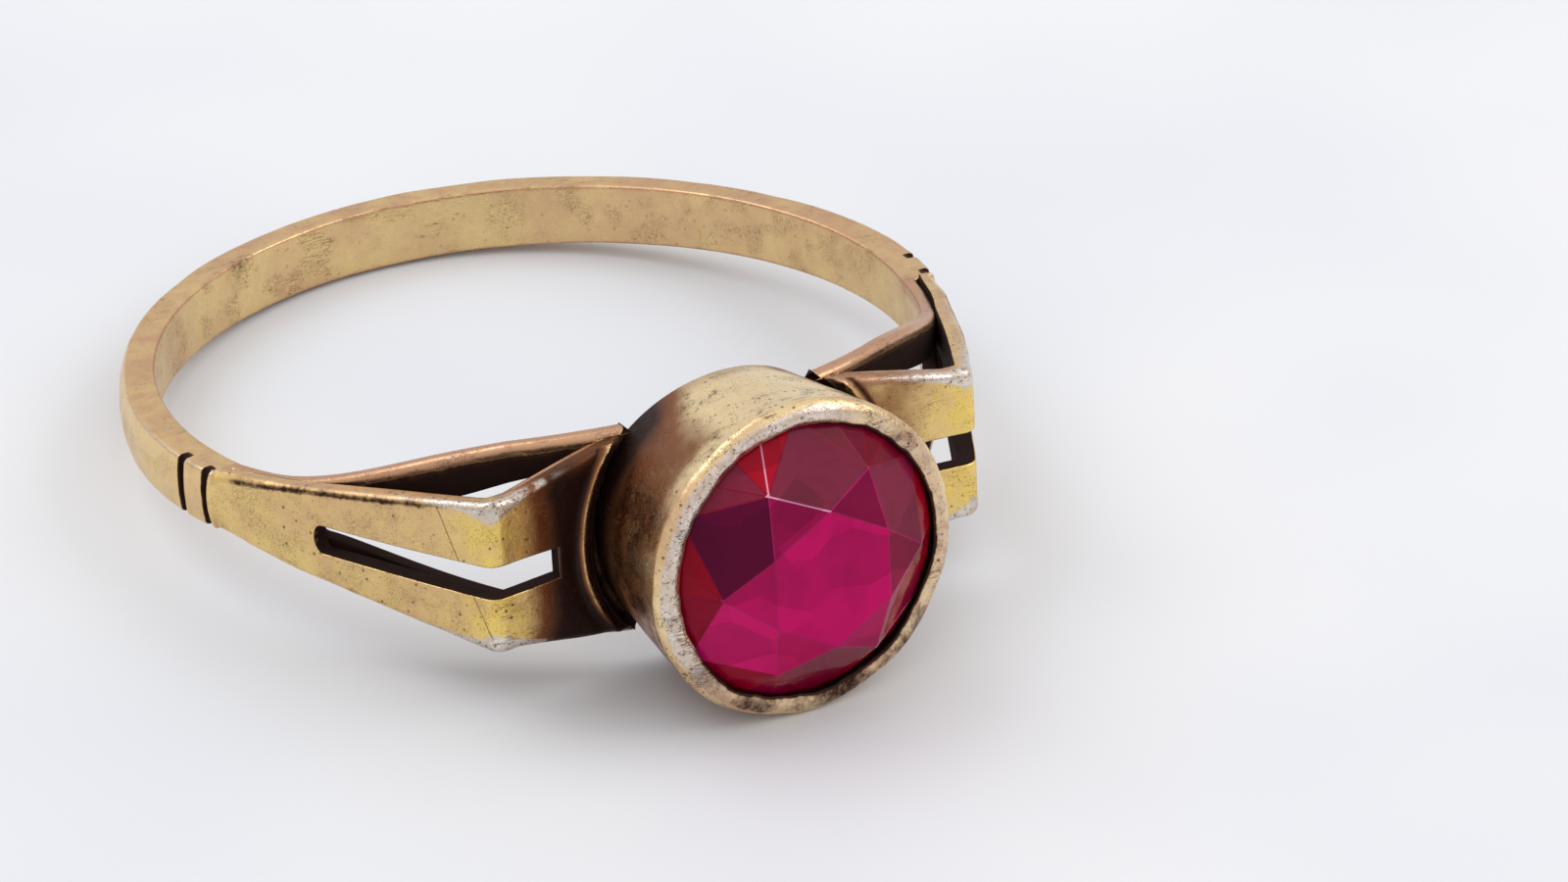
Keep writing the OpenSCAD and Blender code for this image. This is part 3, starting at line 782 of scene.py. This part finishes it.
def strip_marks(side, v, dep, share, along, from_end):
    """Where the strip is dirty, in painted shade, rubbed, coppery, brightened by painted highlight, or
    darkened, mostly by painted dark reflection. The left panel's painted dark reflection is deeper.
    """
    outer, skin, body = dep < 0.1, dep < 0.3, dep < 0.4
    az = np.abs(v[:, 2])
    h = strip_half(v[:, :2])
    on_panel = smooth(5.9, 5.5, v[:, 0])
    inside = smooth(0.25, 0.4, dep)
    top = smooth(0.86, 0.97, az / h) * body
    corner = np.hypot(v[:, 0] - 5.9, v[:, 1] + 9.0)
    near_corner = bump_at(corner, 0, 1.5)
    walls = in_slot(v, dep, share)

    # The lip is a thin gold ridge with a little painted highlight, with dark on both sides of it.
    lip = bump_at(from_end, LIP_FROM_END, 0.085) * outer * smooth(-2.3, -1.2, v[:, 2])
    lip = lip * (1.0 if side < 0 else 0.3)
    behind = (bump_at(from_end, 0.52, 0.1) + smooth(0.24, 0.16, from_end)) * outer

    # Painted dark reflection: the folded panel darkens towards the bezel, least along its upper and
    # lower edges.
    reach = smooth(5.5, 4.05, v[:, 0] - 0.3 * smooth(1.2, 2.3, az) + 0.06 * slow(v * 1.3))
    deepest = 1.0 if side < 0 else 0.36
    shade = deepest * on_panel * reach * (1 - 0.35 * smooth(1.5, 2.3, v[:, 2])) * skin
    shade = np.where(walls, 0, shade)
    shade = np.maximum(shade, 0.9 * behind) * (1 - 0.88 * lip)

    # A dirt line runs just inside the face's edges, stronger along the upper one.
    upper = 0.4 + 0.6 * smooth(-0.5, 0.5, v[:, 2])
    line = bump_at(h - az, 0.13, 0.085) * (dep < 0.12) * upper * smooth(0.2, 0.7, along)
    line = (0.84 + 0.14 * slow(v * 1.4)) * line * (1 - bump_at(v[:, 1], -9.0, 1.2))
    # The strip's back, facing the inner arm, and the slot's walls are near-black painted shade.
    grime = np.maximum(1.3 * inside, line)
    grime = np.maximum(grime, 0.3 * bump_at(along, 0.05, 0.06) * skin)
    grime = np.where(walls, 1.3, grime)
    grime = grime * (1 - 0.8 * lip)
    grime = np.where((top > 0.5) & (dep > 0.12) & body, np.minimum(grime, 0.35), grime)

    out = smooth(0.3, 0.0, dep)
    rub = 0.45 * top * (1 - 0.6 * inside) + 0.75 * near_corner * smooth(0.8, 0.95, az / h) * out
    rub = rub + 0.8 * out * smooth(0.55, 0.85, az / h) * bump_at(corner, 0, 0.5)
    copper = top * (0.55 - 0.3 * near_corner) * (1 - inside) + 0.75 * top * on_panel * body
    # Painted highlight round the corner and on the lip.
    glow = near_corner * 0.6 * (1 - inside) + 0.2 * lip
    return dict(grime=grime, rub=rub, copper=copper * (1 - lip), glow=glow, shade=shade,
                scratch=long_scratch(v, dep, side))


def shoulder(side):
    v, dep, share, faces = strip_mesh()
    along = START_P[1] - v[:, 1]
    # Everything before the bridge counts as far from the cut end.
    far = 9
    to_end = (1 - share) * (SLOT_X - end_x(np.minimum(np.abs(v[:, 2]), 2.3)))
    from_end = np.where(share > 0, to_end, far)
    wear_strip(v, dep, along, from_end)
    marks = strip_marks(side, v, dep, share, along, from_end)
    v[:, 0] *= side
    obj = build(SIDE_NAMES[side] + "_shoulder_strip", v, faces, marks, merge=0.0008)
    bevel = obj.modifiers.new("eased edges", "BEVEL")
    bevel.width = 0.03 * MM
    bevel.segments = 2
    bevel.limit_method = "ANGLE"
    bevel.angle_limit = deg(55)
    bevel.use_clamp_overlap = False
    finish_piece(obj, SIDE_NAMES[side] + "_shoulder", strip_gilt)


# ---- Solder ----

def tip_solder(side):
    """Fills the sharp end of the gap between the strip and the inner arm."""
    rows, cols = 12, 8
    overlap = 0.01
    back = face_point(np.linspace(0, 1, 200), STRIP_T)
    s = np.linspace(0, 1, cols)
    v = []
    for up in (1, -1):
        for i, y in enumerate(np.linspace(-TIP_FROM_Y, -TIP_TO_Y, rows)):
            x_in = math.sqrt(ARM_R ** 2 - y ** 2)
            x_out = max(np.interp(-y, -back[:, 1], back[:, 0]), x_in + overlap)
            x = x_in - overlap + (x_out - x_in + 2 * overlap) * s
            sag = 0.12 + 0.16 * np.sin(math.pi * s) * min(1, (x_out - x_in) / 0.25)
            sag = sag + 0.5 * (i / (rows - 1)) ** 3
            v.append(np.stack([x, np.full(cols, y), up * (TIP_HALF - sag)], -1))
    v = np.concatenate(v)
    low = rows * cols
    faces = grid_faces(rows, cols) + grid_faces(rows, cols, low)
    sides = [(i * cols + j, cols) for i in range(rows - 1) for j in (0, cols - 1)]
    ends = [(i * cols + j, 1) for i in (0, rows - 1) for j in range(cols - 1)]
    faces += [(a, a + step, low + a + step, low + a) for a, step in sides + ends]
    v[:, :2] += 0.006 * mid(v)[:, None]
    v[:, 0] *= side
    obj = build(SIDE_NAMES[side] + "_tip_solder_fill", v, faces, even_marks(len(v), 0.7, 0, 0.2, 0))
    finish_piece(obj, SIDE_NAMES[side] + "_tip_solder", solder_metal)


def wall_out(y):
    """The bezel's outer radius."""
    return FOOT_R + (RIM_R - FOOT_R) * (y - FOOT_Y) / (RIM_Y - RIM_ROLL - FOOT_Y)


def bezel_solder(side):
    """The solder between the shoulder's curved end and the bezel: two pads where the inner arm's bars
    meet the bezel, with a thin web between them."""
    rows, cols = 49, 9
    s = np.linspace(0, 1, cols)
    r_in, r_out = wall_out(FILLET_Y) - 0.07, SOLDER_R - 0.005
    r = r_in + (r_out - r_in) * s
    v = []
    for height in np.linspace(-FILLET_HALF, FILLET_HALF, rows):
        a = math.asin(height / FILLET_R)
        x, z = r * math.cos(a), r * math.sin(a)
        low = np.sqrt(BORE_R ** 2 - x ** 2) + 0.01
        low = low + (np.maximum(low, WEB_Y) - low) * smooth(1.75, 1.6, abs(height))
        high = np.maximum(FILLET_Y - 0.1 * np.sin(math.pi * s) + 0.05 * s, low + 0.02)
        v.append(np.stack([x, -high, z], -1))
        v.append(np.stack([x, -low, z], -1)[::-1])
    v = np.concatenate(v)
    loop = 2 * cols
    faces = grid_faces(rows, loop, close_cols=True)
    faces += [list(range(loop))[::-1], [(rows - 1) * loop + j for j in range(loop)]]
    v[:, 1] += 0.015 * mid(v) * (v[:, 1] < -8.35)
    v[:, 0] *= side
    obj = build(SIDE_NAMES[side] + "_bezel_solder_fillet", v, faces,
                even_marks(len(v), 0.6, 0, 0.3, 0))
    finish_piece(obj, SIDE_NAMES[side] + "_bezel_solder", solder_metal)


# ---- Bezel ----

def wall_in(y):
    """The bezel's inner radius, below the stone."""
    return FOOT_IN_R + (STONE_R - FOOT_IN_R) * (y - FOOT_Y) / (GIRDLE_Y - FOOT_Y)


WALL_COLS = 26
ROLL_COLS = 16
LIP_COLS = 4


def bezel_profile(a):
    """Radius and distance from the finger hole's centre round each section of the bezel: up the
    outside, over the rolled edge, down to the stone and down the inside."""
    def foot(r):
        return np.sqrt(BORE_R ** 2 - (r * np.cos(a)) ** 2)

    roll = np.linspace(0, 1, ROLL_COLS + 1)[None, 1:] * ROLL_TURN
    down = np.linspace(0, 1, LIP_COLS + 1)[None, 1:]
    y_roll, r_roll = RIM_Y - RIM_ROLL, RIM_R - RIM_ROLL
    y_out = foot(FOOT_R) + (y_roll - foot(FOOT_R)) * np.linspace(0, 1, WALL_COLS)[None, :]
    y_over = y_roll + RIM_ROLL * np.sin(roll) + 0 * a
    r_over = r_roll + RIM_ROLL * np.cos(roll) + 0 * a
    y_edge, r_edge = y_over[:, -1:], r_over[:, -1:]
    y_down = y_edge + (GIRDLE_TOP - y_edge) * down
    r_down = r_edge + (STONE_R - r_edge) * down
    y_in = foot(FOOT_IN_R) + (GIRDLE_Y - foot(FOOT_IN_R)) * np.linspace(1, 0, 16)[None, :]
    r = [wall_out(y_out), r_over, r_down, STONE_R + 0 * a, wall_in(y_in)[:, 1:]]
    y = [y_out, y_over, y_down, GIRDLE_Y + 0 * a, y_in[:, 1:]]
    return np.concatenate(r, 1), np.concatenate(y, 1)


def ring_points(r, y, a):
    return np.stack([r * np.cos(a), -y, r * np.sin(a)], -1)


def wear_bezel(r, y, a, j):
    """The rolled edge was pushed down by hand: its width wanders and its inner edge is nicked."""
    p = ring_points(r, y, a)
    on_rim = smooth(11.55, 11.9, y) * (j < WALL_COLS + ROLL_COLS + LIP_COLS)
    on_out = j < WALL_COLS + 8
    push = 0.02 * slow(p * 1.8) + 0.012 * mid(p) + 0.005 * fine(p)
    dents = -0.05 * smooth(0.9, 1.9, mid(p * 0.6 + 5))
    nicks = 0.02 + 0.028 * mid(p * 0.8 + 1) + 0.012 * fine(p * 0.7)
    wave = 0.018 * slow(p * 0.9 + 3) + 0.006 * mid(p * 0.8)
    r = r + on_rim * (push + dents) - 0.015 * on_out
    r = r - bump_at(j, WALL_COLS + 14, 3.0) * on_rim * nicks
    y = y + on_rim * (0.012 * slow(p * 2.2 + 6) + 0.008 * mid(p * 1.3 + 2) - 0.022)
    r = r + (1 - on_rim) * on_out * smooth(8.6, 9.6, y) * wave
    return r, y


def bezel_wall():
    n = 360
    a = np.linspace(0, 2 * math.pi, n, endpoint=False)[:, None]
    r, y = bezel_profile(a)
    m = r.shape[1]
    j = np.arange(m)[None]
    r, y = wear_bezel(r, y, a, j)
    p = ring_points(r, y, a)

    # Up is where the sine is 1, and the shoulders are where the cosine is 1 or -1.
    across, up = np.cos(a) + 0 * r, np.sin(a) + 0 * r
    outside = (j < WALL_COLS) + 0 * r
    rim = smooth(WALL_COLS + 3, WALL_COLS + 6, j + 0.9 * mid(p * 0.8)) * (j < WALL_COLS + 14)
    seam = smooth(WALL_COLS + 12.5, WALL_COLS + 15, j + 0 * r)
    beside = smooth(0.25, 0.66, np.abs(across))
    low_side = smooth(-0.2, -0.8, up)
    open_side = np.maximum(low_side, smooth(-0.1, 0.5, across))

    # Painted shade on the outside: the sides darken below the rim and more towards the foot, and the
    # foot and the low side darken too. Slow blotches add real mottling.
    side_shade = outside * beside * (0.28 * smooth(10.2, 8.9, y) + 0.52 * smooth(11.75, 11.1, y))
    shade = side_shade * (0.95 + 0.2 * slow(p * 0.9 + 4)) + outside * 0.25 * smooth(9.6, 8.6, y)
    blotch = smooth(0.2, 1.2, slow(p * 0.8 + 11)) * smooth(11.9, 11.3, y)
    shade = np.maximum(shade + 0.2 * outside * blotch, outside * low_side * 0.3)
    # The sides get painted shade through the grime channel as well, with real mottled dirt over the
    # outside.
    grime = 0.36 * outside * beside + 0.3 * outside * smooth(0.2, 1.4, mid(p * 0.45 + 8))
    # On the rim: dirt, with painted shade on the low side. From the rolled edge's inner side down to the
    # stone and inside, the dark is a painted shadow between stone and rim, deepest to the right and
    # below.
    grime = np.maximum(grime, rim * (0.24 + 0.3 * low_side + 0.14 * mid(p * 0.7)))
    grime = np.maximum(grime, seam * (0.5 + 0.9 * open_side))
    # The rim's rubbed silver is real wear. As painted shade, it thins to copper towards the right and
    # below, and copper pinks the painted shade on the sides.
    rub = rim * (0.88 - 0.34 * open_side) + 0.1 * outside
    copper = 0.35 * outside * smooth(0.0, 1.0, slow(p * 0.6 + 2)) + 0.45 * outside * beside
    copper = copper + 0.5 * rim * open_side
    # Painted highlight: the top of the bezel is lighter, as if lit from above.
    glow = 0.75 * outside * smooth(0.2, 0.8, up)
    marks = dict(grime=grime, rub=rub, copper=copper, glow=glow, shade=shade)
    faces = grid_faces(n, m, close_cols=True, close_rows=True)
    obj = build("bezel_tube", p.reshape(-1, 3), faces, marks, sharp=50)
    finish_piece(obj, "bezel_wall", bezel_metal)


def stone_seat():
    """A ring whose sloping top follows the stone's back facets."""
    n = 180
    a = np.linspace(0, 2 * math.pi, n, endpoint=False)[:, None]
    facet_mid_r = BACK_MID_R * math.cos(math.pi / SIXFOLD)
    slope = BACK_SLOPE * (STONE_R - facet_mid_r) / (STONE_R - BACK_MID_R)
    top = GIRDLE_Y - (STONE_R - SEAT_R) * slope
    foot = top - SEAT_HEIGHT
    section = [(STONE_R - 0.01, GIRDLE_Y - 0.01)]
    section += [(r, GIRDLE_Y - (STONE_R - r) * slope) for r in (3.1, 2.93)]
    section += [(SEAT_R + SEAT_EASE, top + 0.02), (SEAT_R, top - 0.02), (SEAT_R, top - 0.2),
                (SEAT_R, foot + 0.02), (SEAT_R + SEAT_EASE, foot), (2.95, foot),
                (float(wall_in(foot)), foot), (float(wall_in(top)), top)]
    r, y = (np.array(values)[None] + 0 * a for values in zip(*section))
    p = ring_points(r, y, a).reshape(-1, 3)
    faces = grid_faces(n, len(section), close_cols=True, close_rows=True)
    obj = build("stone_seat_ring", p, faces, even_marks(len(p), 0.3, 0.1, 0.2, 0.2))
    finish_piece(obj, "stone_seat", bezel_metal)


# ---- Stone ----

# Each crown facet has its own tint, a painted reflection standing in for the light it throws back and
# lets through, listed anticlockwise as seen from the front.
TABLE_TINT = (0.56, 0.002, 0.125)
STAR_TINTS = [(0.22, 0.004, 0.05), (0.34, 0.004, 0.08), (0.50, 0.004, 0.11),
              (0.50, 0.003, 0.10), (0.40, 0.003, 0.09), (0.26, 0.004, 0.045)]
MAIN_TINTS = [(0.22, 0.010, 0.045), (0.20, 0.008, 0.04), (0.12, 0.0005, 0.035),
              (0.62, 0.006, 0.14), (0.22, 0.002, 0.03), (0.27, 0.004, 0.035)]
# One for each pair of girdle facets
GIRDLE_TINTS = [(0.20, 0.003, 0.02), (0.18, 0.008, 0.03), (0.42, 0.003, 0.02), (0.24, 0.02, 0.05),
                (0.36, 0.002, 0.02), (0.26, 0.0005, 0.02), (0.28, 0.0005, 0.02), (0.22, 0.0005, 0.03),
                (0.30, 0.0005, 0.02), (0.24, 0.0005, 0.015), (0.30, 0.0005, 0.012), (0.34, 0.002, 0.015)]
CROWN_TINTS = [TABLE_TINT, *STAR_TINTS, *MAIN_TINTS, *(t for t in GIRDLE_TINTS for _ in (0, 1))]
BACK_TINT = (0.50, 0.004, 0.08)
# Facet edges are paler, as painted highlights, and three of them, given as (radius, azimuth in degrees),
# are bright painted highlights.
EDGE_TINT = (0.42, 0.012, 0.12)
RIM_EDGE_TINT = (0.26, 0.004, 0.03)
PAINTED_HIGHLIGHT_TINT = (0.80, 0.36, 0.52)
PAINTED_HIGHLIGHT_EDGES = [((2.44, 120), (1.6, 90)), ((2.44, 120), (3.27, 105)), ((2.44, 300), (3.2, 330))]


def stone_rings(flat_r, mid_r, flat_y, edge_y):
    """The corners of one side of the stone: its flat's, those of the mains, and the girdle's."""
    slope = (flat_y - edge_y) / (STONE_R - flat_r)
    mid_y = flat_y - (mid_r * math.cos(math.pi / SIXFOLD) - flat_r) * slope

    def ring(count, turn, r, y):
        a = np.radians(np.arange(count) * 360 / count + turn)
        return ring_points(r, y + 0 * a, a)
    return np.concatenate([ring(SIXFOLD, 30, flat_r, flat_y), ring(SIXFOLD, 60, mid_r, mid_y),
                           ring(4 * SIXFOLD, 30, STONE_R - 0.01, edge_y)])


def stone_faces(base):
    """The facets of one side: the flat, then star, main and girdle facets."""
    n = SIXFOLD
    flat, mids, edge = base, base + n, base + 2 * n
    out = [[flat + i for i in range(n)]]
    out += [[flat + (i + 1) % n, flat + i, mids + i] for i in range(n)]
    out += [[flat + i, mids + (i - 1) % n, edge + 4 * i, mids + i] for i in range(n)]
    out += [[mids + k // 4, edge + k, edge + (k + 1) % (4 * n)] for k in range(4 * n)]
    return out


def near_line(c, a, b):
    """Distance in millimetres from point c to the line from a to b, both as (radius, azimuth)."""
    a, b = (r * np.array([math.cos(deg(t)), math.sin(deg(t))]) for r, t in (a, b))
    k = np.clip((c - a) @ (b - a) / ((b - a) @ (b - a)), 0, 1)
    return np.linalg.norm(c - a - k * (b - a))


def facet_plane(corners):
    normal = np.cross(corners[1] - corners[0], corners[2] - corners[0])
    return normal / np.linalg.norm(normal), corners[0]


def facet_tint(polygon, crown_planes):
    """The colour of a facet, or of the narrow bevel between two facets."""
    middle, normal = np.array(polygon.center), np.array(polygon.normal)
    for (plane_normal, corner), tint in zip(crown_planes, CROWN_TINTS):
        if abs(abs(plane_normal @ normal) - 1) < 1e-5 and abs((middle - corner) @ plane_normal) < 2e-6:
            return tint
    if normal[1] >= -0.2:
        return BACK_TINT
    d = (middle - CENTRE) / MM
    face_on = np.array([d[0], d[1] * math.sin(TILT) + d[2] * math.cos(TILT)])
    # Painted highlights: three edges bright, the others paler except round the girdle.
    if any(near_line(face_on, a, b) < 0.04 for a, b in PAINTED_HIGHLIGHT_EDGES):
        return PAINTED_HIGHLIGHT_TINT
    return RIM_EDGE_TINT if np.linalg.norm(face_on) > STAR_R + 0.08 else EDGE_TINT


def ruby_glass():
    n = Nodes("ruby_glass")
    cloud = n.noise(0.9, 3, 0.6)
    tint = n.attribute("tint", "Color")
    deep = n.mix(1.0, tint, (0.45, 0.25, 0.4, 1), "MULTIPLY")
    lit = n.mix(1.0, tint, (1.25, 1.4, 1.1, 1), "MULTIPLY")
    # Painted refraction: sharp-edged patches, some darker and some lighter, stand in for the back facets
    # showing through.
    shard = n.cells(0.75, n.mapped((1, 0.5, 1.3), (15, 0, 35)), "Color")
    colour = n.mix(n.step(cloud, 0.42, 0.75, 0.0, 0.4), tint, deep)
    colour = n.mix(n.step(shard, 0.5, 0.3, 0.0, 0.32), colour, deep)
    colour = n.mix(n.step(shard, 0.58, 0.75, 0.0, 0.24), colour, lit)
    wear = n.step(n.noise(6.0, 3, 0.6), 0.5, 0.75)
    lines = n.hairlines((0.5, 14, 14), (20, 15, 40), 0.01)
    height = n.less(n.times(cloud, 0.5), n.times(lines, 0.2))
    return n.surface(Base_Color=colour, IOR=1.5, Specular_IOR_Level=0.03, Transmission_Weight=0.15,
                     Roughness=n.add(n.times(wear, 0.1), 0.04), Normal=n.bump(height, 0.006, 0.5))


def stone():
    crown = stone_rings(TABLE_R, STAR_R, TABLE_Y, GIRDLE_TOP)
    back = stone_rings(BACK_TIP_R, BACK_MID_R, GIRDLE_Y - (STONE_R - BACK_TIP_R) * BACK_SLOPE, GIRDLE_Y)
    v = to_row(np.concatenate([crown, back]))
    faces = stone_faces(0) + stone_faces(len(crown))
    girdle_n = 4 * SIXFOLD
    edge, back_edge = 2 * SIXFOLD, len(crown) + 2 * SIXFOLD
    for i in range(girdle_n):
        k = (i + 1) % girdle_n
        faces.append([edge + i, edge + k, back_edge + k, back_edge + i])
    mesh = bpy.data.meshes.new("stone_cut")
    mesh.from_pydata(v.tolist(), [], faces)
    bm = bmesh.new()
    bm.from_mesh(mesh)
    bmesh.ops.recalc_face_normals(bm, faces=bm.faces)
    bmesh.ops.bevel(bm, geom=list(bm.edges), offset=0.018 * MM, segments=1, profile=0.5,
                    affect="EDGES", clamp_overlap=True)
    bm.to_mesh(mesh)
    bm.free()
    obj = add_object("stone_cut", mesh)

    crown_planes = [facet_plane(v[f[:3]]) for f in faces[:len(CROWN_TINTS)]]
    values = np.ones((len(mesh.loops), 4))
    for polygon in mesh.polygons:
        values[list(polygon.loop_indices), :3] = facet_tint(polygon, crown_planes)
    layer = mesh.color_attributes.new("tint", "FLOAT_COLOR", "CORNER")
    layer.data.foreach_set("color", values.astype(np.float32).ravel())
    finish_piece(obj, "stone", ruby_glass())


shank()
for s in (-1, 1):
    shoulder(s)
    tip_solder(s)
    bezel_solder(s)
bezel_wall()
stone_seat()
stone()


# ---- Floor, light and camera ----

def floor():
    mesh = bpy.data.meshes.new("floor")
    k = 0.6
    mesh.from_pydata([(-k, -k, 0), (k, -k, 0), (k, k, 0), (-k, k, 0)], [], [(0, 1, 2, 3)])
    obj = add_object("floor", mesh)
    n = Nodes("pale_floor")
    patch = n.step(n.noise(0.05, 2, 0.5), 0.35, 0.65)
    tone = n.mix(patch, (0.72, 0.755, 0.805, 1), (0.785, 0.807, 0.835, 1))
    mesh.materials.append(n.surface(Base_Color=tone, Roughness=0.55, Specular_IOR_Level=0.3))


def area_light(name, place, size, power, colour):
    """A soft light that faces the origin."""
    data = bpy.data.lights.new(name, "AREA")
    data.shape = "RECTANGLE"
    data.size, data.size_y = size
    data.energy = power
    data.color = colour
    obj = add_object(name, data)
    obj.location = place
    obj.rotation_euler = (-Vector(place)).to_track_quat("-Z", "Y").to_euler()


def soft_room():
    """A pale surround, slightly darker and warmer at the horizon."""
    world = bpy.data.worlds.new("soft_room")
    world.use_nodes = True
    tree = world.node_tree
    sky = tree.nodes["Background"]
    kinds = ("TexCoord", "SeparateXYZ", "ValToRGB")
    coord, split, ramp = (tree.nodes.new("ShaderNode" + kind) for kind in kinds)
    tree.links.new(coord.outputs["Generated"], split.inputs[0])
    tree.links.new(split.outputs["Z"], ramp.inputs[0])
    tree.links.new(ramp.outputs[0], sky.inputs["Color"])
    horizon, overhead = ramp.color_ramp.elements
    horizon.color = (0.67, 0.605, 0.585, 1)
    overhead.position = 0.75
    overhead.color = (0.99, 0.965, 0.96, 1)
    sky.inputs["Strength"].default_value = 0.95
    bpy.context.scene.world = world


def photo_camera():
    """The photograph's viewing angle, placed from the finger hole's centre."""
    lens = bpy.data.cameras.new("camera")
    lens.lens = 185.5035
    lens.clip_start = 0.01
    lens.clip_end = 5
    camera = add_object("camera", lens)
    camera.location = (-0.074459, CENTRE[1] - 0.13614266, CENTRE[2] + 0.09448957)
    camera.rotation_euler = Euler([deg(v) for v in (58.16439, -1.26986, -29.93453)])
    bpy.context.scene.camera = camera


floor()
area_light("key", (-0.12, 0.16, 0.26), (0.24, 0.2), 0.25, (0.95, 0.985, 1.02))
area_light("fill", (0.22, -0.1, 0.2), (0.2, 0.2), 0.22, (0.97, 0.97, 0.98))
soft_room()
photo_camera()
bpy.context.scene.view_settings.view_transform = "Standard"
